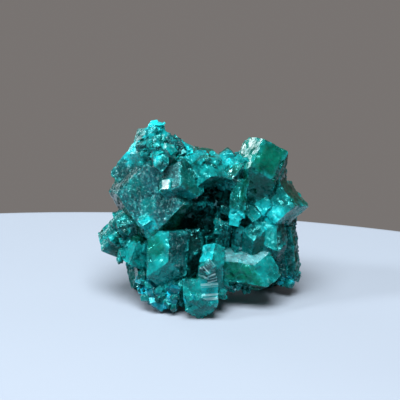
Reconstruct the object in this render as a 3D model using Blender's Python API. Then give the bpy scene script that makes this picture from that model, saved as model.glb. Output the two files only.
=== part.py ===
"""Dioptase specimen: stout emerald-green crystals grown together into one rounded cluster.

The cluster stands on small flats that are cut on the lowest crystals.
+X is the long way across, +Y points to the back, +Z is up, and the origin is
on the table under the middle of the cluster. Lengths below are in millimetres.
"""
import math
import random
from collections import namedtuple

import bmesh
import bpy
from mathutils import Matrix, Vector, noise
from mathutils.bvhtree import BVHTree

MM = 0.001
SEED = 11

# A crystal is a six-sided prism that ends in three rhombic faces.
# The three stand off the tip by unlike shares of the radius, so no four planes meet in one point.
RHOMB_ANGLE = math.radians(51.0)
RHOMB_SHIFT = (0.0, 0.05, -0.07)
TIP_TAPER = 0.95
WELD = 0.01

# The lumpy heart that all the crystals grow out of.
CORE_CENTRE = (0.4, 3.2, 10.6)
CORE_HALF_SIZE = (9.6, 5.0, 8.0)
CORE_LUMP = 0.14
CORE_LUMP_SCALE = 1.7

# The cut that the cluster stands on.
FLOOR_Z = 0.0
CUT_SIZE = 60.0

# Side crystals that grow parallel to a main one and leave steps on its faces.
STEP_RADIUS = (0.34, 0.56)
STEP_REACH = (0.55, 0.78)
STEP_DROP = (0.26, 0.53)
STEP_LENGTH = 0.75

# Small crystals sprinkled over the bands between the main ones. Their rise and
# length are shares of their radius, and their lean is off the face that they sit on.
DRUSE_RADIUS = (0.36, 0.78)
DRUSE_RISE = 1.5
DRUSE_LENGTH = 3.4
DRUSE_LEAN = 0.45
FAR = 40.0

GREEN = (0.010, 0.200, 0.150, 1.0)
ROUGHNESS = 0.22

# tip is the point of the crystal, axis the way it points, face the side that one
# of its three rhombic end faces looks to, steps the number of side crystals.
Crystal = namedtuple("Crystal", "name tip axis face radius length steps")

CRYSTALS = [
    # upper left: the big block with its wide frosted face, and what grows over it
    Crystal("left_block", (-2.7, -8.5, 16.0), (0.34, -0.92, 0.19), (-0.86, 0.0, 0.05), 6.5, 11.5, 0),
    Crystal("left_peak", (-6.6, -1.4, 24.2), (0.02, -0.26, 0.96), (-1.0, -0.10, 0.0), 3.8, 12.0, 0),
    Crystal("peak_left", (-10.3, -0.8, 20.1), (-0.36, -0.22, 0.91), (1.0, 0.10, 0.0), 3.1, 10.0, 0),
    Crystal("peak_right", (-2.8, -0.6, 22.0), (0.24, -0.24, 0.94), (-1.0, 0.0, 0.0), 3.2, 9.0, 0),
    Crystal("peak_knob", (-6.7, -1.7, 25.0), (-0.15, -0.35, 0.93), (-1.0, 0.0, 0.0), 1.35, 4.0, 0),
    Crystal("blue_kite", (-5.4, -7.8, 19.5), (0.12, -0.80, -0.58), (0.0, -0.5, 1.0), 1.2, 4.5, 0),
    Crystal("glare_facet", (-4.5, -8.7, 17.7), (0.11, -0.99, 0.06), (-0.53, 0.75, 0.40), 1.15, 5.0, 0),
    Crystal("block_knob", (-7.7, -7.8, 12.2), (-0.10, -0.97, -0.15), (0.0, 0.0, 1.0), 1.05, 4.0, 0),
    # top centre
    Crystal("centre_top", (-2.8, -8.9, 18.2), (0.10, -0.97, 0.14), (-0.80, 0.0, 0.60), 3.2, 9.0, 0),
    Crystal("centre_right", (1.1, -7.2, 18.6), (0.22, -0.96, 0.05), (0.70, 0.0, 0.70), 2.7, 8.0, 1),
    Crystal("saddle_front", (3.8, -5.6, 18.0), (0.05, -0.97, 0.10), (-0.30, 0.0, 1.0), 2.2, 8.0, 1),
    Crystal("saddle_back", (3.0, -1.4, 20.8), (0.10, -0.45, 0.88), (0.0, -1.0, 0.0), 2.2, 7.0, 1),
    # upper right
    Crystal("right_top", (7.5, -3.2, 22.7), (0.05, -0.40, 0.91), (0.53, -0.77, -0.37), 3.7, 10.0, 0),
    Crystal("right_under", (7.6, -4.0, 17.0), (0.22, -0.96, 0.10), (0.80, 0.0, 0.60), 3.0, 9.0, 0),
    Crystal("hanging_prism", (4.1, -6.2, 12.1), (-0.12, -0.42, -0.90), (0.0, -1.0, 0.3), 1.2, 5.8, 0),
    # right side
    Crystal("right_arm", (12.1, -4.4, 14.2), (0.50, -0.84, 0.20), (-1.0, 0.0, 0.10), 3.5, 10.0, 1),
    Crystal("right_shelf", (9.4, -4.2, 6.0), (0.10, -0.42, -0.90), (1.0, -0.2, 0.0), 2.0, 9.0, 1),
    Crystal("right_column", (11.3, 0.4, 1.0), (0.12, -0.12, -0.98), (1.0, 0.0, 0.0), 2.3, 10.0, 1),
    # lower right, with the pale facet that looks up
    Crystal("pale_block", (10.3, -5.0, 4.8), (0.97, -0.20, -0.05), (0.0, -0.82, 0.57), 2.8, 11.0, 0),
    Crystal("inner_sliver", (4.5, -4.9, 11.6), (0.0, -0.25, 0.97), (-1.0, 0.0, 0.0), 0.8, 6.0, 0),
    Crystal("inner_dark", (6.6, -4.6, 12.2), (0.05, -0.30, 0.95), (0.0, -1.0, 0.0), 1.9, 7.0, 0),
    # bottom centre
    Crystal("front_foot", (-0.2, -9.2, -0.35), (0.05, -0.28, -0.96), (0.0, -1.0, 0.0), 2.7, 5.6, 0),
    Crystal("striped_crystal", (0.6, -9.4, 8.5), (0.02, -0.30, 0.95), (0.0, -1.0, 0.0), 1.4, 6.0, 0),
    Crystal("striped_rim", (1.3, -7.8, 9.9), (0.05, -0.25, 0.96), (0.8, -0.6, 0.0), 1.9, 8.0, 0),
    Crystal("foot_shoulder", (1.9, -7.4, 4.6), (0.25, -0.85, 0.46), (0.0, 0.0, -1.0), 2.0, 5.0, 1),
    # lower left
    Crystal("front_prism", (-5.0, -7.0, 3.2), (-0.05, -0.24, -0.97), (0.0, -1.0, 0.0), 3.2, 7.8, 0),
    Crystal("prism_behind", (-1.7, -6.0, 4.4), (0.12, -0.40, -0.91), (-1.0, -0.3, 0.0), 2.6, 6.2, 0),
    Crystal("left_point", (-13.6, -2.2, 7.0), (-0.76, -0.48, -0.44), (-0.2, 0.0, 1.0), 2.9, 11.0, 0),
    Crystal("left_shoulder", (-11.2, -5.0, 10.9), (-0.56, -0.80, 0.10), (0.0, 0.0, 1.0), 3.0, 9.0, 1),
    Crystal("left_hip", (-9.8, -6.2, 6.2), (-0.42, -0.84, -0.34), (0.9, 0.0, 0.3), 2.9, 9.0, 1),
    Crystal("bottom_left", (-6.8, -6.5, 1.2), (-0.30, -0.72, -0.62), (0.4, 0.0, 0.9), 2.8, 9.0, 1),
    Crystal("bottom_front", (-3.9, -8.5, 1.2), (-0.06, -0.86, -0.50), (1.0, 0.0, 0.2), 2.7, 8.0, 1),
    # the crystals around the dark hollow
    Crystal("hollow_left", (2.0, -5.2, 12.0), (0.0, -0.40, 0.92), (1.0, 0.0, 0.0), 0.9, 6.0, 0),
    Crystal("hollow_right", (3.2, -4.8, 12.1), (0.1, -0.35, 0.93), (0.0, -1.0, 0.0), 0.7, 6.0, 0),
    Crystal("hollow_top", (-0.9, -6.2, 15.2), (0.1, -0.55, -0.83), (0.0, -1.0, 0.0), 1.2, 6.0, 0),
    # the back
    Crystal("back_top", (-4.2, 5.6, 20.6), (-0.14, 0.46, 0.88), (0.0, 1.0, 0.0), 4.2, 12.0, 2),
    Crystal("back_top_right", (6.6, 4.6, 19.6), (0.25, 0.45, 0.86), (0.7, 0.7, 0.0), 3.8, 11.0, 2),
    Crystal("back_left", (-10.8, 6.8, 14.0), (-0.60, 0.76, 0.22), (-0.3, 0.0, 1.0), 4.1, 12.0, 2),
    Crystal("back_middle", (-1.4, 11.0, 13.4), (-0.04, 0.98, 0.14), (0.6, 0.0, 0.8), 4.6, 12.0, 2),
    Crystal("back_right", (11.2, 6.6, 13.0), (0.62, 0.74, 0.20), (0.2, 0.0, 1.0), 4.1, 12.0, 2),
    Crystal("back_low_left", (-6.6, 8.8, 5.6), (-0.36, 0.88, -0.26), (0.0, 0.3, 1.0), 3.9, 12.0, 1),
    Crystal("back_low_right", (5.4, 9.2, 6.0), (0.30, 0.92, -0.20), (0.5, 0.0, 0.9), 4.0, 12.0, 1),
    Crystal("left_foot", (-8.8, 3.6, -1.1), (-0.30, 0.22, -0.93), (-1.0, 0.0, 0.0), 3.4, 10.0, 1),
    Crystal("right_foot", (8.6, 5.2, -1.2), (0.30, 0.20, -0.93), (1.0, 0.0, 0.0), 3.4, 10.0, 1),
    Crystal("middle_foot", (0.6, 1.0, -0.4), (0.05, 0.05, -1.0), (0.0, 1.0, 0.0), 4.2, 10.0, 0),
]

# Small crystals grow in bands: middle and half-width of each, the side that it
# looks to, and how many grow there.
DruseBand = namedtuple("DruseBand", "name middle spread side count")

DRUSE_BANDS = [
    DruseBand("under_peak", (-5.4, -4.0, 22.0), (3.2, 1.5, 2.0), (0.0, -0.80, 0.60), 34),
    DruseBand("peak_edge", (-5.6, -1.0, 24.0), (2.0, 1.0, 1.0), (0.0, -0.60, 0.80), 10),
    DruseBand("saddle", (2.6, -4.0, 19.6), (2.6, 1.5, 1.0), (0.0, -0.75, 0.65), 8),
    DruseBand("bottom_left", (-6.6, -6.4, 2.6), (3.8, 1.5, 2.0), (-0.15, -0.95, -0.1), 30),
    DruseBand("bottom_front", (4.2, -6.0, 2.2), (3.2, 1.0, 0.8), (0.10, -0.95, -0.30), 10),
    DruseBand("right_rim", (11.4, -1.6, 2.2), (1.8, 1.6, 1.2), (0.45, -0.85, 0.0), 12),
    DruseBand("left_side", (-11.4, -2.6, 8.6), (2.2, 2.4, 4.6), (-0.70, -0.70, 0.0), 14),
    DruseBand("hollow", (1.0, -1.0, 13.0), (3.4, 1.0, 2.6), (0.0, -1.0, 0.15), 8),
    DruseBand("back_upper", (0.0, 7.0, 17.0), (7.0, 3.0, 4.0), (0.0, 0.85, 0.50), 16),
    DruseBand("back_lower", (0.0, 7.0, 7.0), (8.0, 3.0, 4.0), (0.0, 1.0, 0.05), 14),
]


def axis_frame(axis, face, origin):
    """Matrix whose +Z is the crystal's axis and whose +X looks to the named side."""
    up = Vector(axis).normalized()
    across = Vector(face)
    across = (across - across.project(up)).normalized()
    turn = Matrix((across, up.cross(across), up)).transposed().to_4x4()
    return Matrix.Translation(Vector(origin)) @ turn


def cut_away(bm, point, normal):
    """Cuts the solid with a plane, drops what is on the normal's side and closes it."""
    everything = bm.verts[:] + bm.edges[:] + bm.faces[:]
    cut = bmesh.ops.bisect_plane(bm, geom=everything, plane_co=point, plane_no=normal, clear_outer=True)
    rim = [item for item in cut["geom_cut"] if isinstance(item, bmesh.types.BMEdge)]
    bmesh.ops.contextual_create(bm, geom=rim)


def crystal_mesh(name, radius, length):
    """Six-sided prism under its tip at the origin, with three rhombic faces on the tip."""
    bm = bmesh.new()
    prism = bmesh.ops.create_cone(bm, cap_ends=True, segments=6, radius1=radius,
                                  radius2=radius * TIP_TAPER, depth=length,
                                  matrix=Matrix.Translation((0.0, 0.0, -length / 2)))
    corner = prism["verts"][0].co
    edge_turn = -math.atan2(corner.y, corner.x)
    bmesh.ops.rotate(bm, verts=bm.verts, matrix=Matrix.Rotation(edge_turn, 3, "Z"))
    for third in range(3):
        turn = math.radians(120.0 * third)
        normal = Vector((math.sin(RHOMB_ANGLE) * math.cos(turn), math.sin(RHOMB_ANGLE) * math.sin(turn),
                         math.cos(RHOMB_ANGLE)))
        cut_away(bm, normal * radius * RHOMB_SHIFT[third], normal)
    bmesh.ops.remove_doubles(bm, verts=bm.verts, dist=WELD * MM)
    bmesh.ops.recalc_face_normals(bm, faces=bm.faces)
    mesh = bpy.data.meshes.new(name)
    bm.to_mesh(mesh)
    bm.free()
    return mesh


def add_crystal(crystal, collection):
    """Places one crystal of the list."""
    mesh = crystal_mesh(crystal.name, crystal.radius * MM, crystal.length * MM)
    mesh.transform(axis_frame(crystal.axis, crystal.face, Vector(crystal.tip) * MM))
    piece = bpy.data.objects.new(crystal.name, mesh)
    piece.hide_render = True
    piece.display_type = "WIRE"
    collection.objects.link(piece)
    return piece


def side_crystals(crystal):
    """Smaller crystals beside a main one and parallel to it."""
    rng = random.Random(f"{crystal.name} {SEED}")
    placed = axis_frame(crystal.axis, crystal.face, crystal.tip)
    for number in range(crystal.steps):
        turn = rng.uniform(0.0, math.tau)
        reach = crystal.radius * rng.uniform(*STEP_REACH)
        drop = crystal.radius * math.tan(RHOMB_ANGLE) * rng.uniform(*STEP_DROP)
        tip = placed @ Vector((reach * math.cos(turn), reach * math.sin(turn), -drop))
        radius = crystal.radius * rng.uniform(*STEP_RADIUS)
        yield Crystal(f"{crystal.name}_step_{number}", tip, crystal.axis, crystal.face, radius,
                      crystal.length * STEP_LENGTH, 0)


def core_mesh():
    """Lumpy closed ball in the middle, nearly hidden under the crystals."""
    bm = bmesh.new()
    bmesh.ops.create_icosphere(bm, subdivisions=3, radius=1.0)
    for vert in bm.verts:
        lump = 1.0 + CORE_LUMP * noise.noise(vert.co * CORE_LUMP_SCALE)
        vert.co = Vector([lump * vert.co[i] * CORE_HALF_SIZE[i] + CORE_CENTRE[i] for i in range(3)]) * MM
    mesh = bpy.data.meshes.new("core")
    bm.to_mesh(mesh)
    bm.free()
    return mesh


def druse_crystals(band, surface):
    """Small crystals that stand on the surface inside one band, leaning a little from its normal."""
    rng = random.Random(f"{band.name} {SEED}")
    side = Vector(band.side).normalized()
    for number in range(band.count):
        aim = Vector([rng.gauss(band.middle[i], band.spread[i] * 0.5) for i in range(3)])
        radius = rng.uniform(*DRUSE_RADIUS)
        lean = Vector([rng.uniform(-DRUSE_LEAN, DRUSE_LEAN) for _ in range(3)])
        face = [rng.uniform(-1.0, 1.0) for _ in range(3)]
        spot, normal, _, _ = surface.ray_cast((aim + side * FAR) * MM, -side)
        if spot is None:
            continue
        axis = (normal + lean).normalized()
        tip = spot / MM + axis * radius * DRUSE_RISE
        yield Crystal(f"{band.name}_druse_{number}", tip, axis, face, radius, radius * DRUSE_LENGTH, 0)


def joined_surface(pieces):
    """One lookup of all the outer faces, for seating the small crystals."""
    bm = bmesh.new()
    for piece in pieces:
        bm.from_mesh(piece.data)
    surface = BVHTree.FromBMesh(bm)
    bm.free()
    return surface


def keep_outer_shell(mesh):
    """Fills the closed pockets between the crystals by dropping every shell but the outer one."""
    bm = bmesh.new()
    bm.from_mesh(mesh)
    waiting = set(bm.verts)
    shells = []
    while waiting:
        shell = set()
        front = [waiting.pop()]
        while front:
            vert = front.pop()
            shell.add(vert)
            near = {edge.other_vert(vert) for edge in vert.link_edges} & waiting
            waiting -= near
            front.extend(near)
        shells.append(shell)
    outer = max(shells, key=len)
    bmesh.ops.delete(bm, geom=[vert for vert in bm.verts if vert not in outer], context="VERTS")
    bm.to_mesh(mesh)
    bm.free()


def centre_over_origin(mesh):
    """Moves the cluster sideways until the middle of its box is over the origin."""
    low = [min(vert.co[i] for vert in mesh.vertices) for i in range(2)]
    high = [max(vert.co[i] for vert in mesh.vertices) for i in range(2)]
    mesh.transform(Matrix.Translation((-(low[0] + high[0]) / 2, -(low[1] + high[1]) / 2, 0.0)))


def floor_cutter(collection):
    """Big block under the table's plane, which gives the lowest crystals their flats."""
    bm = bmesh.new()
    bmesh.ops.create_cube(bm, size=CUT_SIZE * MM)
    mesh = bpy.data.meshes.new("floor_cutter")
    bm.to_mesh(mesh)
    bm.free()
    cutter = bpy.data.objects.new("floor_cutter", mesh)
    cutter.location = (0.0, 0.0, (FLOOR_Z - CUT_SIZE / 2) * MM)
    cutter.hide_render = True
    cutter.display_type = "WIRE"
    collection.objects.link(cutter)
    return cutter


def green_material():
    """Deep emerald green with a glassy surface."""
    material = bpy.data.materials.new("dioptase_green")
    material.use_nodes = True
    shader = material.node_tree.nodes["Principled BSDF"]
    shader.inputs["Base Color"].default_value = GREEN
    shader.inputs["Roughness"].default_value = ROUGHNESS
    shader.inputs["Metallic"].default_value = 0.0
    return material


def new_collection(name):
    """Collection linked to the scene."""
    collection = bpy.data.collections.new(name)
    bpy.context.scene.collection.children.link(collection)
    return collection


def build():
    """Joins the core and every crystal, then cuts the flats to stand on."""
    for old in list(bpy.data.objects):
        bpy.data.objects.remove(old, do_unlink=True)
    specimen = new_collection("dioptase_specimen")
    crystals = new_collection("crystals")
    cutters = new_collection("cutters")

    pieces = [add_crystal(crystal, crystals) for crystal in CRYSTALS]
    for crystal in CRYSTALS:
        pieces += [add_crystal(side, crystals) for side in side_crystals(crystal)]
    surface = joined_surface(pieces)
    for band in DRUSE_BANDS:
        for small in druse_crystals(band, surface):
            add_crystal(small, crystals)

    core = bpy.data.objects.new("core", core_mesh())
    specimen.objects.link(core)
    join = core.modifiers.new("join_crystals", "BOOLEAN")
    join.operation = "UNION"
    join.operand_type = "COLLECTION"
    join.collection = crystals
    flats = core.modifiers.new("cut_flats", "BOOLEAN")
    flats.operation = "DIFFERENCE"
    flats.object = floor_cutter(cutters)
    joined = core.evaluated_get(bpy.context.evaluated_depsgraph_get())
    mesh = bpy.data.meshes.new_from_object(joined)
    bpy.data.objects.remove(core, do_unlink=True)

    keep_outer_shell(mesh)
    centre_over_origin(mesh)
    mesh.name = "dioptase_cluster"
    mesh.materials.clear()
    mesh.materials.append(green_material())
    specimen.objects.link(bpy.data.objects.new("dioptase_cluster", mesh))


build()
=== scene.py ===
"""Looks of the dioptase specimen: emerald crystals, blue-green druse and the light on them.

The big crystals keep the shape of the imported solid. Here they get growth plates,
chipped edges and colours that change from face to face, and small crystals are
grown on them. Lengths in the tables are millimetres.
"""
import math
import random
from collections import namedtuple

import bmesh
import bpy
from mathutils import Matrix, Vector, noise
from mathutils.bvhtree import BVHTree


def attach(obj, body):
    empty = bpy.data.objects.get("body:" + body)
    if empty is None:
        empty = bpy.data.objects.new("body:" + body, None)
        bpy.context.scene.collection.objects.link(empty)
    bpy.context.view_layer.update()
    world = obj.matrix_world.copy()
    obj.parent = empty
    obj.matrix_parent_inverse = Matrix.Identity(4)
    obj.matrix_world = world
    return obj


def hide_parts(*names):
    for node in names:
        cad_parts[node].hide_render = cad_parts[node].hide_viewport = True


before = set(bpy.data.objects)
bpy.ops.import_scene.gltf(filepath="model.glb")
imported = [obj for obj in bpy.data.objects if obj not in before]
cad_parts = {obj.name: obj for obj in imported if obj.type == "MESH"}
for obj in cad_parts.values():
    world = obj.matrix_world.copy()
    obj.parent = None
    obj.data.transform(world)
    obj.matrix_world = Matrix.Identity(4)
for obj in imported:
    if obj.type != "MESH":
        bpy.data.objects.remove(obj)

MM = 0.001
SEED = 23
NODE = "dioptase_cluster"

# The camera looks along +Y and a little down, through a long lens. Only its
# distance and the nearest depth that it sees are in metres.
VIEW_ELEVATION = math.radians(17.0)
VIEW_DISTANCE = 0.260
VIEW_TARGET = (-0.36, -0.05, 13.4)
VIEW_WIDTH = 53.33
SENSOR = 36.0
NEAREST = 0.005

# Round table top, whose far edge shows behind the crystals.
TABLE_CENTRE = (-18.7, -86.0)
TABLE_RADIUS = 126.0
TABLE_THICK = 10.0
TABLE_ROUND = 3.0
TABLE_ROUND_STEPS = 8
TABLE_SIDES = 180
TABLE_SHARP = math.radians(40)
TABLE_CLOUDS = 14.0
TABLE_TONES = ((0.248, 0.287, 0.340, 1.0), (0.268, 0.309, 0.365, 1.0))
TABLE_ROUGHNESS = 0.6
TABLE_GLOSS = 0.2

# Soft square lights, which face the specimen, and the dim room around. In metres and watts.
Lamp = namedtuple("Lamp", "name place size power")

LAMPS = [
    Lamp("overhead", (-0.03, -0.22, 0.46), (0.34, 0.28), 6.7),
    Lamp("window", (-0.35, -0.10, 0.31), (0.08, 0.08), 1.2),
    Lamp("behind_left", (-0.34, 0.35, 0.14), (0.20, 0.20), 0.6),
]
LAMP_TARGET = (0, 0, 0.012)
LAMP_COLOUR = (0.96, 0.98, 1.0)
ROOM_COLOUR = (0.188, 0.173, 0.166, 1.0)

# Fine shape of the big crystals. Points closer than SAME_PLACE, in metres, are one.
SAME_PLACE = 1e-7
FLAT = math.radians(0.4)
SPLIT_ROUNDS = 12
LONGEST_EDGE = 0.30
LONGEST_BACK_EDGE = 0.48
BACK_START = 2.0
SHARP = math.radians(16.0)
GROOVE = math.radians(1.0)
BEND = 0.28
BEND_LENGTH = 4.5
BEND_START = 2.5
BEND_FIELDS = ((9.321, -1.531, -7.951), (0.0, 0.0, 0.0), (6.327, 0.1671, -2.672))
BLUNT_START = 23.8
BLUNT_SHARE = 0.5
RIM_LEVELS = (0.6, 0.3, 0.1)
CHIP_DEPTH = 0.85
CHIP_SPACING = 1.3
FINE_CHIPS = 2.6
FINE_CHIP_START = (9.0, 2.0, 5.0)
FINE_CHIP_SHARE = 0.5
PLATE_SIZE = 1.25
PLATE_CHANCE = 17.3
PLATE_STEP = 0.10
PLATE_TILT = 0.20
LINE_SPACING = 0.55
LINE_HEIGHT = 0.06
LINE_FIELD_STEP = 3.3
LINE_FIELD_START = 0.5
GRAIN_HEIGHT = 0.04
GRAIN = 2.3
LEAST_GRAIN = 0.3

# tint is the body colour, with painted light or shade in the looks marked so below, frost how
# matt the surface is, speckle how many pale points it has, which are partly painted sparkle, lines how
# strong its growth lines are and glint its polish.
Look = namedtuple("Look", "tint frost speckle lines glint")

LOOKS = {
    # hollow is painted shade: a near-black tint laid in the deep hollow between the crystals, where little
    # light reaches.
    "hollow": Look((0.000, 0.004, 0.004), 0.10, 0.00, 0.1, 0.0),
    "dark": Look((0.001, 0.026, 0.024), 0.25, 0.20, 0.2, 0.3),
    "deep": Look((0.000, 0.060, 0.036), 0.08, 0.05, 0.2, 0.2),
    "dark_teal": Look((0.001, 0.042, 0.042), 0.30, 0.30, 0.3, 0.3),
    "emerald": Look((0.001, 0.142, 0.092), 0.12, 0.10, 0.3, 0.3),
    "mid_teal": Look((0.001, 0.098, 0.085), 0.20, 0.15, 0.4, 0.3),
    "teal": Look((0.002, 0.215, 0.210), 0.30, 0.25, 0.3, 0.2),
    "bright_teal": Look((0.004, 0.340, 0.335), 0.22, 0.15, 0.6, 0.2),
    "cyan": Look((0.008, 0.600, 0.650), 0.25, 0.25, 0.2, 0.2),
    "turquoise": Look((0.008, 0.860, 0.920), 0.20, 0.15, 0.1, 0.2),
    "frosted": Look((0.006, 0.078, 0.092), 0.75, 0.90, 0.2, 0.1),
    "dark_frosted": Look((0.003, 0.060, 0.066), 0.60, 0.80, 0.3, 0.2),
    "glazed": Look((0.002, 0.200, 0.160), 0.12, 0.30, 0.1, 0.44),
    # rosy is the face's own grey teal with pale points and lines, partly a painted highlight of light
    # glancing off the face.
    "rosy": Look((0.040, 0.160, 0.170), 0.50, 0.90, 0.7, 0.2),
    # pale is a painted highlight: its whitish tint stands in for light glinting off faces and small
    # crystals.
    "pale": Look((0.130, 0.370, 0.410), 0.70, 1.00, 0.2, 0.2),
    # glare is a painted highlight: a whitish tint on a polished face, on top of its real coat reflection.
    "glare": Look((0.500, 0.620, 0.640), 0.00, 0.00, 0.1, 1.0),
    # striped and barred carry painted glare: pale streaks along their striations.
    "striped": Look((0.020, 0.070, 0.080), 0.30, 0.40, 1.0, 0.3),
    "barred": Look((0.004, 0.340, 0.380), 0.20, 0.20, 0.9, 0.3),
    "blue": Look((0.004, 0.350, 0.450), 0.40, 0.45, 0.3, 0.2),
}
CROSSWISE = ("striped", "barred")

# Looks that large and small crystals have by chance, where no place below gives another.
COMMON_LOOKS = ["emerald", "deep", "teal", "teal", "dark_frosted"]
SMALL_LOOKS = ["teal", "teal", "mid_teal"]
SMALL_AREA = 14.0

# A whole flat face that takes one look: a place on the face, and the look.
FaceLook = namedtuple("FaceLook", "place look")

FACE_LOOKS = [
    # upper left block
    FaceLook((-7.5, -5.3, 16.4), "frosted"),
    FaceLook((-10.9, -3.3, 15.8), "frosted"),
    FaceLook((-11.5, -0.9, 15.7), "dark_frosted"),
    FaceLook((-12.0, -0.7, 14.3), "deep"),
    FaceLook((-11.2, -0.8, 17.6), "dark_frosted"),
    FaceLook((-4.2, -8.1, 13.4), "deep"),
    # Painted whitish highlight on this small polished face.
    FaceLook((-4.6, -8.1, 18.2), "glare"),
    FaceLook((-7.4, -7.4, 12.7), "cyan"),
    # peak
    FaceLook((-8.2, -3.7, 22.0), "dark_frosted"),
    FaceLook((-9.3, -1.9, 19.7), "teal"),
    FaceLook((-5.5, -6.5, 22.1), "dark_frosted"),
    FaceLook((-6.6, -2.3, 24.0), "turquoise"),
    FaceLook((-5.0, -1.5, 23.7), "frosted"),
    FaceLook((-3.3, -1.0, 22.0), "dark_frosted"),
    FaceLook((-1.7, -0.7, 20.8), "cyan"),
    FaceLook((-2.3, -1.5, 20.7), "dark"),
    FaceLook((-5.8, -7.4, 21.0), "cyan"),
    FaceLook((-4.6, -7.1, 20.9), "teal"),
    # top centre
    # Partly a painted highlight.
    FaceLook((-4.2, -6.5, 19.3), "rosy"),
    FaceLook((-1.8, -6.6, 19.0), "mid_teal"),
    FaceLook((-1.4, -7.0, 15.8), "teal"),
    FaceLook((-1.1, -5.6, 19.4), "bright_teal"),
    FaceLook((0.4, -6.7, 18.8), "bright_teal"),
    FaceLook((3.3, -5.3, 18.0), "bright_teal"),
    FaceLook((3.2, -4.0, 19.0), "glazed"),
    FaceLook((3.2, -1.5, 20.6), "cyan"),
    FaceLook((0.0, -6.2, 20.4), "bright_teal"),
    FaceLook((0.9, -6.9, 19.3), "bright_teal"),
    FaceLook((3.3, -4.1, 16.3), "teal"),
    FaceLook((1.5, -5.6, 17.5), "mid_teal"),
    FaceLook((3.0, -4.6, 17.3), "teal"),
    FaceLook((0.3, -2.5, 15.5), "dark"),
    # upper right
    FaceLook((8.5, -3.7, 20.2), "emerald"),
    FaceLook((6.2, -3.1, 20.5), "glazed"),
    FaceLook((10.3, -2.7, 18.2), "deep"),
    FaceLook((6.8, -4.2, 17.0), "deep"),
    FaceLook((4.2, -5.2, 16.3), "mid_teal"),
    FaceLook((5.2, -5.9, 14.7), "deep"),
    # Painted glow: the lower end of the hanging prism made bright teal, standing in for light shining
    # through it.
    FaceLook((4.2, -6.6, 13.6), "bright_teal"),
    # right side
    FaceLook((9.6, -3.3, 14.5), "teal"),
    FaceLook((7.9, -3.6, 13.7), "bright_teal"),
    FaceLook((11.6, -1.1, 15.4), "deep"),
    FaceLook((10.6, -3.5, 11.4), "teal"),
    FaceLook((8.9, -4.4, 9.6), "teal"),
    FaceLook((11.0, -3.3, 9.3), "dark_teal"),
    FaceLook((12.8, 0.7, 6.8), "dark_teal"),
    FaceLook((11.8, -1.1, 6.5), "dark_teal"),
    FaceLook((12.7, -0.8, 4.9), "deep"),
    FaceLook((11.7, -1.4, 3.7), "dark_teal"),
    FaceLook((6.2, -4.8, 11.8), "dark"),
    FaceLook((5.2, -4.9, 9.4), "dark"),
    FaceLook((7.8, -5.0, 9.4), "deep"),
    # lower right
    # Painted highlight: this upward face is painted pale for the light glancing off it.
    FaceLook((5.3, -5.5, 7.0), "pale"),
    FaceLook((4.6, -6.3, 4.6), "emerald"),
    FaceLook((8.2, -6.0, 5.9), "teal"),
    # bottom centre
    FaceLook((0.4, -9.9, 7.5), "striped"),
    FaceLook((1.2, -10.0, 6.7), "striped"),
    FaceLook((0.7, -10.1, 6.2), "striped"),
    FaceLook((1.1, -8.0, 9.0), "cyan"),
    FaceLook((2.1, -8.5, 6.9), "teal"),
    FaceLook((-0.5, -10.3, 5.4), "teal"),
    FaceLook((-1.3, -10.5, 3.7), "blue"),
    FaceLook((0.7, -10.2, 3.9), "barred"),
    FaceLook((-0.2, -10.0, 1.5), "teal"),
    # lower left
    # Painted glow: this face is bright teal for light shining through the crystal from the left.
    FaceLook((-6.1, -8.1, 8.4), "bright_teal"),
    FaceLook((-3.2, -8.2, 8.4), "dark_frosted"),
    FaceLook((-4.9, -8.0, 5.3), "teal"),
    FaceLook((-0.8, -6.2, 8.9), "dark"),
    FaceLook((-1.4, -6.7, 6.9), "dark"),
    FaceLook((-10.7, -3.4, 11.9), "teal"),
    FaceLook((-12.5, -1.3, 9.8), "teal"),
    FaceLook((-12.0, -3.7, 9.0), "bright_teal"),
    FaceLook((-9.6, -4.9, 8.7), "emerald"),
    FaceLook((-9.0, -6.1, 7.9), "bright_teal"),
    FaceLook((-10.3, -5.2, 6.7), "bright_teal"),
    FaceLook((-9.7, 1.1, 3.6), "mid_teal"),
    FaceLook((-8.6, -0.3, 2.9), "teal"),
    FaceLook((-6.9, -7.0, 3.2), "blue"),
    FaceLook((-3.6, -8.3, 2.9), "blue"),
    # inside of the hollow
    FaceLook((2.0, -5.4, 11.2), "dark"),
    FaceLook((3.3, -5.1, 11.5), "teal"),
    FaceLook((4.6, -5.3, 10.2), "teal"),
]

# A round patch that is tinted whatever faces it covers: middle, radius, look, strength.
# It fades out past PATCH_END of its radius, and its border is ragged by two waves.
Patch = namedtuple("Patch", "middle radius look strength")
PATCH_END = 1.15
PATCH_FADE = 0.4
PATCH_REACH = 1.7
PATCH_WAVES = ((0.35, 0.9), (0.15, 2.7))

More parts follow.
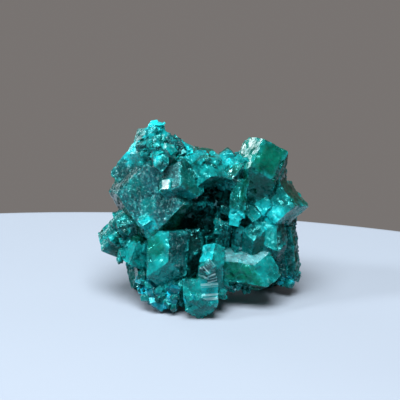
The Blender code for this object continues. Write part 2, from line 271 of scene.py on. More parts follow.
PATCHES = [
    # Painted shade: the two hollow patches darken the deep hollow between the crystals nearly to black.
    Patch((0.2, -2.0, 13.0), 5.2, "hollow", 1.0),
    Patch((-0.8, -4.4, 12.0), 2.9, "hollow", 1.0),
    Patch((-6.6, -2.0, 24.6), 2.2, "turquoise", 1.0),
    # Painted light: a bright cyan band on the upper left edge, where the light from the upper left falls.
    Patch((-9.8, -1.4, 20.6), 1.9, "cyan", 0.8),
    Patch((-7.4, -7.8, 12.3), 1.5, "cyan", 1.0),
    # Painted glow: the tip of the hanging prism made cyan, standing in for light shining through it.
    Patch((4.2, -6.9, 12.6), 1.5, "cyan", 0.9),
    Patch((8.9, -4.4, 12.6), 2.0, "cyan", 0.8),
    Patch((3.0, -2.4, 20.3), 1.8, "cyan", 0.7),
    Patch((-1.0, -3.4, 20.6), 1.4, "cyan", 0.7),
    Patch((-13.4, -2.4, 7.4), 1.4, "bright_teal", 0.8),
    Patch((12.0, -1.6, 9.6), 1.0, "cyan", 0.8),
    Patch((5.6, -3.0, 22.6), 1.3, "cyan", 0.9),
    Patch((-6.6, -8.0, 9.6), 1.8, "emerald", 0.8),
    Patch((-9.0, -4.8, 16.6), 1.5, "teal", 0.7),
    Patch((-7.0, -6.0, 14.6), 1.2, "teal", 0.7),
    Patch((-11.0, -3.0, 18.2), 1.8, "dark", 0.7),
]

# Small crystals grow in drifts: middle and half-width of each, the side it looks
# to, how many there are, their smallest and largest radius, and their look.
Drift = namedtuple("Drift", "middle spread side count radius look")

DRIFTS = [
    # peak slope
    Drift((-4.7, -4.6, 21.2), (3.0, 1.0, 1.0), (0.0, -0.80, 0.60), 24, (0.25, 0.80), "teal"),
    # Pale small crystals that are painted highlights among the druse.
    Drift((-4.9, -4.0, 21.8), (3.0, 1.3, 1.4), (0.0, -0.80, 0.60), 34, (0.10, 0.24), "pale"),
    Drift((-4.2, -3.2, 22.2), (2.2, 1.0, 0.8), (0.0, -0.70, 0.70), 22, (0.50, 1.10), "dark_frosted"),
    # peak side
    Drift((-8.0, -2.4, 22.4), (0.9, 0.8, 0.5), (-0.2, -0.90, 0.30), 4, (0.50, 1.00), "cyan"),
    # peak edge, painted bright cyan where the light from the upper left falls
    Drift((-9.8, -1.2, 20.2), (1.4, 1.0, 1.6), (-0.60, -0.60, 0.50), 10, (0.20, 0.50), "cyan"),
    # peak right
    Drift((-1.6, -2.0, 21.0), (1.4, 1.0, 0.8), (0.30, -0.70, 0.60), 12, (0.20, 0.50), "cyan"),
    # saddle
    Drift((2.4, -3.0, 20.0), (2.0, 1.2, 0.7), (0.0, -0.60, 0.80), 9, (0.20, 0.60), "cyan"),
    # right corner
    Drift((8.7, -4.6, 12.5), (1.4, 0.8, 0.8), (0.0, -0.90, 0.40), 10, (0.20, 0.50), "cyan"),
    # bottom left
    Drift((-6.2, -6.6, 2.6), (4.0, 1.4, 1.7), (-0.15, -0.95, 0.05), 34, (0.50, 1.30), "blue"),
    Drift((-6.2, -6.6, 2.6), (3.8, 1.4, 1.7), (-0.15, -0.95, 0.05), 14, (0.40, 1.10), "teal"),
    Drift((-7.6, -6.4, 2.2), (1.0, 0.8, 0.6), (-0.15, -0.95, 0.05), 5, (0.30, 0.80), "cyan"),
    # bottom rim
    Drift((4.4, -6.4, 2.8), (3.0, 0.8, 0.4), (0.10, -0.95, -0.10), 16, (0.12, 0.28), "pale"),
    # right rim
    Drift((11.4, -1.8, 2.8), (1.6, 1.2, 0.8), (0.40, -0.90, 0.0), 18, (0.16, 0.44), "blue"),
    # pale heap, painted pale as highlights
    Drift((5.2, -5.0, 7.8), (1.6, 0.8, 0.4), (0.0, -0.80, 0.60), 14, (0.12, 0.30), "pale"),
    # hollow rim
    Drift((2.4, -5.0, 10.6), (1.8, 0.8, 2.0), (0.0, -1.00, 0.20), 14, (0.20, 0.50), "teal"),
    # back top
    Drift((0.0, 6.0, 17.0), (7.0, 3.0, 4.0), (0.0, 0.85, 0.50), 70, (0.20, 0.80), "teal"),
    # hollow glint
    Drift((1.9, -3.5, 14.2), (0.3, 0.6, 0.6), (0.0, -1.0, 0.2), 3, (0.25, 0.40), "pale"),
    # back low
    Drift((0.0, 7.0, 7.0), (8.0, 3.0, 4.0), (0.0, 1.0, 0.05), 70, (0.20, 0.90), "teal"),
    # right flank
    Drift((11.0, 6.0, 9.0), (2.0, 2.0, 5.0), (1.0, 0.0, 0.1), 30, (0.20, 0.70), "teal"),
    # left flank
    Drift((-11.0, 7.0, 9.0), (2.0, 2.0, 5.0), (-1.0, 0.1, 0.1), 30, (0.20, 0.70), "teal"),
]

# Form of a small crystal, for a radius of 1, and how it sits.
SMALL_SIDES = 6
SMALL_LENGTH = 2.6
SMALL_FOOT = 0.9
SMALL_MERGE = 0.001
RHOMB_ANGLE = math.radians(51.0)
RHOMB_STEP = 0.04
SMALL_SQUAT = (0.7, 1.3)
SMALL_SHADE = (0.15, 1.6)
SMALL_LEAN = 0.45
SMALL_RISE = 0.25
SMALL_CROWD = 0.5
LOWEST_SEAT = 2.0
FAR = 40.0

# Waves or cells to the metre in the patterns on the big crystals.
HAZE_SCALE = 300.0
CLOUD_SCALE = 420.0
PALE_SCALE = 640.0
POLISH_SCALE = 700.0
CRACK_SCALE = 760.0
BROAD_FACET_SCALE = 900.0
SMEAR_SCALE = 1100.0
RIDGE_LIGHT_SCALE = 1300.0
LINE_SCALE = 2200.0
POINT_SCALE = 3000.0
SMALL_FACET_SCALE = 3300.0
GRAIN_SCALE = 4200.0

# The same for the small crystals.
DRUSE_POLISH_SCALE = 1200.0
DRUSE_CLOUD_SCALE = 1500.0
DRUSE_SMEAR_SCALE = 2500.0
DRUSE_POINT_SCALE = 3600.0
DRUSE_GRAIN_SCALE = 7000.0

# Finish and colours that the materials share.
REFRACTION = 1.66
GLOSS = 0.3
COAT_ROUGHNESS = 0.06
BIG_CLEAR = 0.55
SMALL_CLEAR = 0.3
BROAD_FACET_TILT = 0.22
SMALL_FACET_TILT = 0.10
FROSTED_FACET_TILT = 1.1
# PALE_POINT is partly the crystals' own pale specks and partly painted sparkle, whitish points standing in
# for glints of the lamps; it also colours the painted glare on striations.
PALE_POINT = (0.36, 0.62, 0.66, 1.0)
# Painted light: pale cyan laid along the ridges in patches, standing in for light shining through the thin
# crystal edges.
PAINTED_RIDGE_LIGHT = (0.02, 0.62, 0.64, 1.0)
VEIL = (0.02, 0.42, 0.42, 1.0)
SHEEN_TINT = (0.15, 0.80, 0.80, 1.0)
DEPTH_COLOUR = (0.02, 0.71, 0.65, 1.0)
DEPTH_DENSITY = 420.0


def cad_bmesh():
    """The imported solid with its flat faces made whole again."""
    bm = bmesh.new()
    bm.from_mesh(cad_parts[NODE].data)
    bmesh.ops.remove_doubles(bm, verts=bm.verts, dist=SAME_PLACE)
    bmesh.ops.dissolve_limit(bm, angle_limit=FLAT, verts=bm.verts, edges=bm.edges)
    bmesh.ops.triangulate(bm, faces=bm.faces, quad_method="BEAUTY", ngon_method="BEAUTY")
    bm.faces.layers.int.new("look")
    bm.faces.layers.float_vector.new("along")
    bm.normal_update()
    return bm


def flood(bm, may_cross):
    """Groups faces that are joined across edges that may be crossed, and numbers the groups."""
    group = {}
    count = 0
    for first in bm.faces:
        if first in group:
            continue
        group[first] = count
        front = [first]
        while front:
            face = front.pop()
            for edge in face.edges:
                if len(edge.link_faces) != 2 or not may_cross(edge):
                    continue
                for other in edge.link_faces:
                    if other not in group:
                        group[other] = count
                        front.append(other)
        count += 1
    return group, count


def bend(edge):
    """Signed angle between an edge's two faces: positive on a ridge, negative in a groove."""
    return edge.calc_face_angle_signed(0.0)


def chance_looks(bm, names):
    """The number of a look for each face, by chance and the same on a whole crystal."""
    crystal_of, crystals = flood(bm, lambda edge: bend(edge) > -GROOVE)
    area = [0.0] * crystals
    for face in bm.faces:
        area[crystal_of[face]] += face.calc_area() / MM ** 2
    rng = random.Random(SEED)
    chosen = [names.index(rng.choice(SMALL_LOOKS if size < SMALL_AREA else COMMON_LOOKS))
              for size in area]
    return {face: chosen[crystal] for face, crystal in crystal_of.items()}


def longest_runs(bm, facet_of, facets):
    """The direction of the longest edge of each flat face."""
    longest = [(0.0, Vector((0.0, 0.0, 1.0)))] * facets
    for face in bm.faces:
        for edge in face.edges:
            run = edge.verts[1].co - edge.verts[0].co
            if abs(bend(edge)) > GROOVE and run.length > longest[facet_of[face]][0]:
                longest[facet_of[face]] = (run.length, run.normalized())
    return [direction for _, direction in longest]


def named_looks(bm, names, facet_of):
    """The number of a look for each flat face that the list names."""
    surface = BVHTree.FromBMesh(bm)
    bm.faces.ensure_lookup_table()
    named = {}
    for entry in FACE_LOOKS:
        _, _, index, _ = surface.find_nearest(Vector(entry.place) * MM)
        named[facet_of[bm.faces[index]]] = names.index(entry.look)
    return named


def give_looks(bm):
    """Stores each face's look, and the direction across the lines on it."""
    look_layer = bm.faces.layers.int["look"]
    along_layer = bm.faces.layers.float_vector["along"]
    names = list(LOOKS)
    facet_of, facets = flood(bm, lambda edge: abs(bend(edge)) < GROOVE)
    chance = chance_looks(bm, names)
    named = named_looks(bm, names, facet_of)
    runs = longest_runs(bm, facet_of, facets)
    for face in bm.faces:
        face[look_layer] = named.get(facet_of[face], chance[face])
        run = runs[facet_of[face]]
        crosswise = names[face[look_layer]] in CROSSWISE
        face[along_layer] = run if crosswise else face.normal.cross(run).normalized()


def is_long(edge):
    """Whether an edge is too long to carry relief; the back may be coarser than the front."""
    limit = LONGEST_EDGE if edge.verts[0].co.y < BACK_START * MM else LONGEST_BACK_EDGE
    return edge.calc_length() > limit * MM


def refine(bm):
    """Splits long edges until the mesh is fine enough to carry relief."""
    for _ in range(SPLIT_ROUNDS):
        long_edges = [edge for edge in bm.edges if is_long(edge)]
        if not long_edges:
            break
        bmesh.ops.subdivide_edges(bm, edges=long_edges, cuts=1)
        wide = [face for face in bm.faces if len(face.verts) > 3]
        bmesh.ops.triangulate(bm, faces=wide, quad_method="SHORT_EDGE", ngon_method="BEAUTY")
    bm.normal_update()


def measure_rims(bm):
    """How near each point is to a ridge, from 1 on it to 0 a few steps away, and the points in grooves."""
    rim = {}
    grooves = set()
    for edge in bm.edges:
        turn = bend(edge)
        if turn > SHARP:
            rim[edge.verts[0]] = 1.0
            rim[edge.verts[1]] = 1.0
        elif turn < -GROOVE:
            grooves.update(edge.verts)
    ring = list(rim)
    for level in RIM_LEVELS:
        outer = []
        for vert in ring:
            for edge in vert.link_edges:
                near = edge.other_vert(vert)
                if near not in rim:
                    rim[near] = level
                    outer.append(near)
        ring = outer
    return rim, grooves


def chip(place, nearness):
    """Depth broken off a ridge at a place."""
    broad = noise.noise(place / CHIP_SPACING)
    fine = noise.noise(place * FINE_CHIPS + Vector(FINE_CHIP_START))
    return CHIP_DEPTH * nearness * max(0.0, broad + FINE_CHIP_SHARE * fine)


def plate(place):
    """Height of the growth plate at a place: each plate has its own level and tilt."""
    _, middles = noise.voronoi(place / PLATE_SIZE)
    chance = noise.cell_vector(middles[0] * PLATE_CHANCE)
    tilt = Vector([share - 0.5 for share in chance]) * 2.0 * PLATE_TILT
    return PLATE_STEP * (chance.x - 0.5) + (place - middles[0] * PLATE_SIZE).dot(tilt)


def sway(place):
    """Slow bend of the whole shape at a place, none at the foot, and less height at the peak."""
    share = min(1.0, max(0.0, place.z / BEND_START))
    worn = max(0.0, place.z - BLUNT_START) * BLUNT_SHARE
    shift = Vector([noise.noise(place / BEND_LENGTH + Vector(start)) for start in BEND_FIELDS])
    return shift * BEND * share - Vector((0.0, 0.0, worn))


def weather(bm, rim, grooves):
    """Chips the ridges and gives the flat faces growth plates, lines and grain."""
    look_layer = bm.faces.layers.int["look"]
    along_layer = bm.faces.layers.float_vector["along"]
    looks = list(LOOKS.values())
    shifts = {}
    for vert in bm.verts:
        place = vert.co / MM
        shifts[vert] = sway(place)
        if vert in grooves:
            continue
        nearness = rim.get(vert, 0.0)
        face = vert.link_faces[0]
        look = looks[face[look_layer]]
        across = place.dot(face[along_layer]) / LINE_SPACING
        line = noise.noise(Vector((across, face[look_layer] * LINE_FIELD_STEP, LINE_FIELD_START)))
        grain = noise.noise(place * GRAIN)
        height = LINE_HEIGHT * line * look.lines + GRAIN_HEIGHT * grain * (LEAST_GRAIN + look.frost)
        height += plate(place) * (1.0 - nearness) * (1.0 - look.glint)
        shifts[vert] += vert.normal * (height - chip(place, nearness))
    for vert, shift in shifts.items():
        vert.co += shift * MM
        vert.co.z = max(vert.co.z, 0.0)
    bm.normal_update()


def patch_share(patch, place):
    """How much of a patch shows at a place, with a ragged border."""
    reach = (place - Vector(patch.middle)).length / patch.radius
    reach += sum(height * noise.noise(place * scale) for height, scale in PATCH_WAVES)
    return patch.strength * min(1.0, max(0.0, (PATCH_END - reach) / PATCH_FADE))


def patch_shares(bm):
    """The looks of the patches that show at each point, with how much of each."""
    shares = {}
    for vert in bm.verts:
        place = vert.co / MM
        found = [(patch_share(patch, place), LOOKS[patch.look]) for patch in PATCHES
                 if (place - Vector(patch.middle)).length < patch.radius * PATCH_REACH]
        shares[vert.index] = [pair for pair in found if pair[0] > 0.0]
    return shares


def paint(mesh, bm, rim):
    """Stores the looks on the mesh: tint and finish at each corner, and the ridges at each point."""
    looks = list(LOOKS.values())
    look_layer = bm.faces.layers.int["look"]
    along_layer = bm.faces.layers.float_vector["along"]
    shares = patch_shares(bm)
    tints = []
    finishes = []
    glints = []
    stripes = []
    for face in bm.faces:
        look = looks[face[look_layer]]
        for loop in face.loops:
            tint = Vector(look.tint)
            finish = Vector((look.frost, look.speckle, look.lines))
            glint = look.glint
            for share, over in shares[loop.vert.index]:
                tint = tint.lerp(Vector(over.tint), share)
                finish = finish.lerp(Vector((over.frost, over.speckle, over.lines)), share)
                glint += (over.glint - glint) * share
            tints.extend((*tint, 1.0))
            finishes.extend(finish)
            glints.append(glint)
            stripes.append(loop.vert.co.dot(face[along_layer]))
    mesh.attributes.new("tint", "FLOAT_COLOR", "CORNER").data.foreach_set("color", tints)
    mesh.attributes.new("finish", "FLOAT_VECTOR", "CORNER").data.foreach_set("vector", finishes)
    mesh.attributes.new("glint", "FLOAT", "CORNER").data.foreach_set("value", glints)
    mesh.attributes.new("stripe", "FLOAT", "CORNER").data.foreach_set("value", stripes)
    rims = [rim.get(vert, 0.0) for vert in bm.verts]
    mesh.attributes.new("rim", "FLOAT", "POINT").data.foreach_set("value", rims)


def big_crystals():
    """The fused crystals as one fine mesh with relief and colours."""
    bm = cad_bmesh()
    give_looks(bm)
    refine(bm)
    rim, grooves = measure_rims(bm)
    weather(bm, rim, grooves)
    bm.verts.index_update()
    bm.faces.index_update()
    mesh = bpy.data.meshes.new("emerald_crystals")
    bm.to_mesh(mesh)
    paint(mesh, bm, rim)
    surface = BVHTree.FromBMesh(bm)
    bm.free()
    mesh.shade_smooth()
    mesh.set_sharp_from_angle(angle=SHARP)
    return mesh, surface


def small_crystal():
    """Six-sided prism of radius 1 with its tip at the origin and three rhombic faces on it."""
    bm = bmesh.new()
    prism = bmesh.ops.create_cone(bm, cap_ends=True, segments=SMALL_SIDES, radius1=SMALL_FOOT,
                                  radius2=1.0, depth=SMALL_LENGTH,
                                  matrix=Matrix.Translation((0, 0, -SMALL_LENGTH / 2)))
    corner = prism["verts"][0].co
    bmesh.ops.rotate(bm, verts=bm.verts, matrix=Matrix.Rotation(-math.atan2(corner.y, corner.x), 3, "Z"))
    for third in range(3):
        turn = math.radians(120.0 * third)
        normal = Vector((math.sin(RHOMB_ANGLE) * math.cos(turn), math.sin(RHOMB_ANGLE) * math.sin(turn),
                         math.cos(RHOMB_ANGLE)))
        everything = bm.verts[:] + bm.edges[:] + bm.faces[:]
        cut = bmesh.ops.bisect_plane(bm, geom=everything, plane_co=normal * RHOMB_STEP * third,
                                     plane_no=normal, clear_outer=True)
        rim = [item for item in cut["geom_cut"] if isinstance(item, bmesh.types.BMEdge)]
        bmesh.ops.contextual_create(bm, geom=rim)
    bmesh.ops.remove_doubles(bm, verts=bm.verts, dist=SMALL_MERGE)
    bmesh.ops.recalc_face_normals(bm, faces=bm.faces)
    mesh = bpy.data.meshes.new("small_crystal")
    bm.to_mesh(mesh)
    bm.free()
    return mesh


def plant(bm, template, spot, axis, turn, size, shade):
    """Adds one small crystal, with its tip on a spot and its own shade."""
    start = len(bm.verts)
    bm.from_mesh(template)
    bm.verts.ensure_lookup_table()
    place = (Matrix.Translation(spot) @ axis.to_track_quat("Z", "Y").to_matrix().to_4x4()
             @ Matrix.Rotation(turn, 4, "Z") @ Matrix.Diagonal(size).to_4x4())
    bmesh.ops.transform(bm, matrix=place, verts=bm.verts[start:])
    shade_layer = bm.verts.layers.float["shade"]
    for vert in bm.verts[start:]:
        vert.co.z = max(vert.co.z, 0.0)
        vert[shade_layer] = shade


def grow(drift, surface, template, bm, rng):
    """Adds one drift of small crystals to a mesh, each seated on the big ones."""
    side = Vector(drift.side).normalized()
    for _ in range(drift.count):
        aim = Vector([rng.gauss(middle, half * SMALL_CROWD)
                      for middle, half in zip(drift.middle, drift.spread)])
        lean = Vector([rng.uniform(-SMALL_LEAN, SMALL_LEAN) for _ in range(3)])
        turn = rng.uniform(0.0, math.tau)
        radius = drift.radius[0] + (drift.radius[1] - drift.radius[0]) * rng.random() ** 2
        squat = rng.uniform(*SMALL_SQUAT)
        shade = rng.uniform(*SMALL_SHADE)
        spot, normal, _, _ = surface.ray_cast((aim + side * FAR) * MM, -side)
        if spot is None or spot.z < radius * LOWEST_SEAT * MM:
            continue
        axis = (normal + lean).normalized()
        size = Vector((radius, radius, radius * squat)) * MM
        plant(bm, template, spot + axis * radius * SMALL_RISE * MM, axis, turn, size, shade)


def druse(look_name, surface, template):
    """All the drifts of one look, as one mesh."""
    bm = bmesh.new()
    bm.verts.layers.float.new("shade")
    rng = random.Random(f"{look_name} {SEED}")
    for drift in DRIFTS:
        if drift.look == look_name:
            grow(drift, surface, template, bm, rng)
    mesh = bpy.data.meshes.new(f"{look_name}_druse")
    bm.to_mesh(mesh)
    bm.free()
    return mesh


class Nodes:
    """Short way to build a material's nodes."""

    def __init__(self, name):
        self.material = bpy.data.materials.new(name)
        self.material.use_nodes = True
        self.tree = self.material.node_tree
        self.shader = self.tree.nodes["Principled BSDF"]

    def add(self, kind, **settings):
        """A node with its properties and input values set by name."""
        node = self.tree.nodes.new(kind)
        for key, value in settings.items():
            if key in node.inputs:
                node.inputs[key].default_value = value
            else:
                setattr(node, key, value)
        return node

    def link(self, source, target):
        """Joins an output to an input."""
        self.tree.links.new(source, target)

    def attribute(self, name, output):
        """Reads what is stored on the mesh."""
        return self.add("ShaderNodeAttribute", attribute_name=name).outputs[output]

    def place(self):
        """The part's own coordinates, in metres."""
        return self.add("ShaderNodeTexCoord").outputs["Object"]

    def noise(self, scale, detail=3.0, roughness=0.6):
        """Soft noise in the part's own coordinates, from about 0 to 1."""
        spread = self.add("ShaderNodeTexNoise", Scale=scale, Detail=detail, Roughness=roughness)
        self.link(self.place(), spread.inputs["Vector"])
        return spread.outputs["Fac"]

    def cracks(self, scale, width):
        """Thin lines between cells, 1 on a line and 0 off it."""
        cells = self.add("ShaderNodeTexVoronoi", feature="DISTANCE_TO_EDGE", Scale=scale)
        self.link(self.place(), cells.inputs["Vector"])
        return self.stretch(cells.outputs["Distance"], 0.0, width, 1.0, 0.0)

    def cells(self, scale):
        """A random colour for each cell of a given size."""
        cells = self.add("ShaderNodeTexVoronoi", Scale=scale)
        self.link(self.place(), cells.inputs["Vector"])
        return cells.outputs["Color"]

    def math(self, operation, first, second):
        """One sum on two values or outputs."""
        node = self.tree.nodes.new("ShaderNodeMath")
        node.operation = operation
        for socket, value in zip(node.inputs, (first, second)):
            if isinstance(value, (int, float)):
                socket.default_value = value
            else:
                self.link(value, socket)
        return node.outputs[0]

    def vector(self, operation, first, second=None, scale=None):
        """One sum on vectors."""
        node = self.tree.nodes.new("ShaderNodeVectorMath")
        node.operation = operation
        sockets = (node.inputs[0], node.inputs[1], node.inputs[3])
        for socket, value in zip(sockets, (first, second, scale)):
            if isinstance(value, (int, float, tuple)):
                socket.default_value = value
            elif value is not None:
                self.link(value, socket)
        return node.outputs[0]

    def stretch(self, value, low, high, to_low=0.0, to_high=1.0):
        """Maps a range of values onto another, and clamps."""
        node = self.tree.nodes.new("ShaderNodeMapRange")
        self.link(value, node.inputs["Value"])
        node.inputs["From Min"].default_value = low
        node.inputs["From Max"].default_value = high
        node.inputs["To Min"].default_value = to_low
        node.inputs["To Max"].default_value = to_high
        return node.outputs["Result"]

    def mix(self, share, first, second, blend="MIX"):
        """Mixes two colours."""
        node = self.tree.nodes.new("ShaderNodeMix")
        node.data_type = "RGBA"
        node.blend_type = blend
        sockets = (node.inputs[0], node.inputs[6], node.inputs[7])
        for socket, value in zip(sockets, (share, first, second)):
            if isinstance(value, (int, float, tuple)):
                socket.default_value = value
            else:
                self.link(value, socket)
        return node.outputs[2]

    def facets(self, scale, strength, normal):
        """Tilts the surface by a chance amount in each small cell, as tiny crystal faces do."""
        chance = self.vector("SUBTRACT", self.cells(scale), (0.5, 0.5, 0.5))
        tilt = self.vector("SCALE", chance, scale=strength)
        return self.vector("NORMALIZE", self.vector("ADD", normal, tilt))


def crystal_finish(shader, clear):
    """Refraction, gloss and clearness, as plain values on the shader."""
    shader.inputs["Coat Roughness"].default_value = COAT_ROUGHNESS
    shader.inputs["IOR"].default_value = REFRACTION
    shader.inputs["Specular IOR Level"].default_value = GLOSS
    shader.inputs["Specular Tint"].default_value = SHEEN_TINT
    shader.inputs["Transmission Weight"].default_value = clear


def emerald_colour(nodes, points, streak_glare):
    """The stored tint, with clouds, thin veins, pale points that are partly painted sparkle, growth lines
    painted pale as glare, and painted light along the ridges.
    """
    clouds = nodes.stretch(nodes.noise(CLOUD_SCALE, 5.0), 0.34, 0.66, 0.30, 1.70)
    colour = nodes.mix(1.0, nodes.attribute("tint", "Color"), clouds, "MULTIPLY")
    haze = nodes.stretch(nodes.noise(HAZE_SCALE), 0.45, 0.6, 0.0, 0.4)
    colour = nodes.mix(nodes.math("MULTIPLY", nodes.cracks(CRACK_SCALE, 0.07), haze), colour, VEIL)
    # Pale points: partly own specks, partly painted sparkle.
    heaps = nodes.stretch(nodes.noise(PALE_SCALE, 3.0), 0.42, 0.62, 0.15, 0.9)
    colour = nodes.mix(nodes.math("MULTIPLY", points, heaps), colour, PALE_POINT)
    # Painted glare along the striations.
    colour = nodes.mix(streak_glare, colour, PALE_POINT)
    # Painted light along the ridges, in patches.
    ridge_light = nodes.stretch(nodes.noise(RIDGE_LIGHT_SCALE, 2.0), 0.42, 0.62, 0.0, 0.7)
    return nodes.mix(nodes.math("MULTIPLY", nodes.attribute("rim", "Fac"), ridge_light), colour, PAINTED_RIDGE_LIGHT)


def emerald_normal(nodes, ridges, frost, glint):
    """Growth lines and matt grain, and the tilts of tiny faces, which polish takes away."""
    matt = nodes.math("MULTIPLY", nodes.noise(GRAIN_SCALE, 4.0, 0.7), nodes.math("ADD", frost, 0.08))
    bump = nodes.add("ShaderNodeBump", Strength=1.0, Distance=0.00010)
    nodes.link(nodes.math("ADD", ridges, matt), bump.inputs["Height"])
    dull = nodes.math("SUBTRACT", 1.0, glint)
    broad = nodes.math("MULTIPLY", dull, BROAD_FACET_TILT)
    frosted = nodes.math("ADD", nodes.math("MULTIPLY", frost, FROSTED_FACET_TILT), SMALL_FACET_TILT)
    small = nodes.math("MULTIPLY", dull, frosted)
    broadly = nodes.facets(BROAD_FACET_SCALE, broad, bump.outputs["Normal"])
    return nodes.facets(SMALL_FACET_SCALE, small, broadly)


def emerald_material():
    """Clear green crystal whose tint, frost, pale points and growth lines are stored on the mesh."""
    nodes = Nodes("emerald_crystal")
    shader = nodes.shader
    glint = nodes.attribute("glint", "Fac")
    split = nodes.add("ShaderNodeSeparateXYZ")
    nodes.link(nodes.attribute("finish", "Vector"), split.inputs[0])
    frost, speckle, lines = split.outputs
    wave = nodes.add("ShaderNodeTexNoise", noise_dimensions="1D", Scale=LINE_SCALE, Detail=2.0)
    nodes.link(nodes.attribute("stripe", "Fac"), wave.inputs["W"])
    height = wave.outputs["Fac"]

    # Pale points, partly own specks and partly painted sparkle; they also weigh the coat.
    specks = nodes.stretch(nodes.noise(POINT_SCALE, 3.0, 0.75), 0.54, 0.66)
    points = nodes.math("MULTIPLY", specks, speckle)
    # Pale streaks on strongly lined faces: painted glare on the striations.
    streak_glare = nodes.math("MULTIPLY", nodes.stretch(height, 0.50, 0.60), nodes.stretch(lines, 0.7, 1.0))
    nodes.link(emerald_colour(nodes, points, streak_glare), shader.inputs["Base Color"])

    smear = nodes.stretch(nodes.noise(SMEAR_SCALE, 3.0), 0.35, 0.65, 0.05, 0.20)
    nodes.link(nodes.math("ADD", nodes.math("MULTIPLY", frost, 0.25), smear), shader.inputs["Roughness"])
    normal = emerald_normal(nodes, nodes.math("MULTIPLY", height, lines), frost, glint)
    nodes.link(normal, shader.inputs["Normal"])
    nodes.link(normal, shader.inputs["Coat Normal"])

    polish = nodes.stretch(nodes.math("ADD", nodes.noise(POLISH_SCALE, 3.0), glint), 0.9, 1.0)
    sparkle = nodes.math("MULTIPLY", points, 0.8)
    nodes.link(nodes.math("MAXIMUM", polish, sparkle), shader.inputs["Coat Weight"])
    crystal_finish(shader, BIG_CLEAR)
    volume = nodes.add("ShaderNodeVolumeAbsorption", Color=DEPTH_COLOUR, Density=DEPTH_DENSITY)
    nodes.link(volume.outputs[0], nodes.tree.nodes["Material Output"].inputs["Volume"])
    return nodes.material


def druse_material(look_name):
    """Milky small crystals of one colour, each with its own shade."""
    nodes = Nodes(f"{look_name}_druse")
    shader = nodes.shader
    clouds = nodes.stretch(nodes.noise(DRUSE_CLOUD_SCALE, 3.0), 0.35, 0.65, 0.5, 1.3)
    shade = nodes.math("MULTIPLY", clouds, nodes.attribute("shade", "Fac"))
    colour = nodes.mix(1.0, (*LOOKS[look_name].tint, 1.0), shade, "MULTIPLY")
    # Pale points on the small crystals, partly painted sparkle.
    points = nodes.stretch(nodes.noise(DRUSE_POINT_SCALE, 2.0), 0.60, 0.75, 0.0, 0.6)
    nodes.link(nodes.mix(points, colour, PALE_POINT), shader.inputs["Base Color"])
    smear = nodes.stretch(nodes.noise(DRUSE_SMEAR_SCALE), 0.3, 0.7, 0.05, 0.30)
    nodes.link(smear, shader.inputs["Roughness"])
    polish = nodes.stretch(nodes.noise(DRUSE_POLISH_SCALE), 0.50, 0.65, 0.0, 0.8)
    nodes.link(polish, shader.inputs["Coat Weight"])
    crystal_finish(shader, SMALL_CLEAR)
    bump = nodes.add("ShaderNodeBump", Strength=0.6, Distance=0.00005)
    nodes.link(nodes.noise(DRUSE_GRAIN_SCALE), bump.inputs["Height"])
    nodes.link(bump.outputs["Normal"], shader.inputs["Normal"])
    return nodes.material


def add_piece(name, mesh, material):
    """One piece of the specimen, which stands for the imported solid."""
    mesh.materials.clear()
    mesh.materials.append(material)
    piece = bpy.data.objects.new(name, mesh)
    bpy.context.scene.collection.objects.link(piece)
    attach(piece, "root")
    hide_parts(NODE)
    return piece


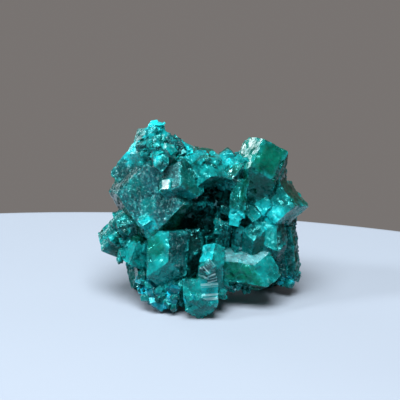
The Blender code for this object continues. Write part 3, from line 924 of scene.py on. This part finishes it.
def table():
    """Round pale table top under the specimen."""
    bm = bmesh.new()
    bmesh.ops.create_cone(bm, cap_ends=True, segments=TABLE_SIDES, radius1=TABLE_RADIUS * MM,
                          radius2=TABLE_RADIUS * MM, depth=TABLE_THICK * MM)
    mesh = bpy.data.meshes.new("table_top")
    bm.to_mesh(mesh)
    bm.free()
    top = bpy.data.objects.new("table_top", mesh)
    top.location = (TABLE_CENTRE[0] * MM, TABLE_CENTRE[1] * MM, -TABLE_THICK * MM / 2)
    soft = top.modifiers.new("round_edge", "BEVEL")
    soft.width = TABLE_ROUND * MM
    soft.segments = TABLE_ROUND_STEPS
    mesh.shade_smooth()
    mesh.set_sharp_from_angle(angle=TABLE_SHARP)
    nodes = Nodes("pale_table")
    tone = nodes.mix(nodes.noise(TABLE_CLOUDS), *TABLE_TONES)
    nodes.link(tone, nodes.shader.inputs["Base Color"])
    nodes.shader.inputs["Roughness"].default_value = TABLE_ROUGHNESS
    nodes.shader.inputs["Specular IOR Level"].default_value = TABLE_GLOSS
    mesh.materials.append(nodes.material)
    bpy.context.scene.collection.objects.link(top)


def area_light(lamp):
    """One soft light that faces the specimen."""
    data = bpy.data.lights.new(lamp.name, "AREA")
    data.shape = "RECTANGLE"
    data.size, data.size_y = lamp.size
    data.energy = lamp.power
    data.color = LAMP_COLOUR
    light = bpy.data.objects.new(lamp.name, data)
    light.location = lamp.place
    aim = Vector(LAMP_TARGET) - Vector(lamp.place)
    light.rotation_euler = aim.to_track_quat("-Z", "Y").to_euler()
    bpy.context.scene.collection.objects.link(light)


def room():
    """The lights and the dim room around."""
    for lamp in LAMPS:
        area_light(lamp)
    world = bpy.data.worlds.new("room")
    world.use_nodes = True
    world.node_tree.nodes["Background"].inputs["Color"].default_value = ROOM_COLOUR
    bpy.context.scene.world = world


def camera():
    """The photograph's view of the specimen."""
    data = bpy.data.cameras.new("camera")
    data.sensor_width = SENSOR
    data.lens = SENSOR * VIEW_DISTANCE / (VIEW_WIDTH * MM)
    data.clip_start = NEAREST
    eye = bpy.data.objects.new("camera", data)
    look = Vector((0.0, math.cos(VIEW_ELEVATION), -math.sin(VIEW_ELEVATION)))
    eye.location = Vector(VIEW_TARGET) * MM - look * VIEW_DISTANCE
    eye.rotation_euler = look.to_track_quat("-Z", "Y").to_euler()
    bpy.context.scene.collection.objects.link(eye)
    bpy.context.scene.camera = eye


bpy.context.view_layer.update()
camera()
room()
table()
crystals, seat = big_crystals()
add_piece("emerald_crystals", crystals, emerald_material())
template = small_crystal()
for look_name in dict.fromkeys(drift.look for drift in DRIFTS):
    add_piece(f"{look_name}_druse", druse(look_name, seat, template), druse_material(look_name))
bpy.context.scene.view_settings.view_transform = "Standard"
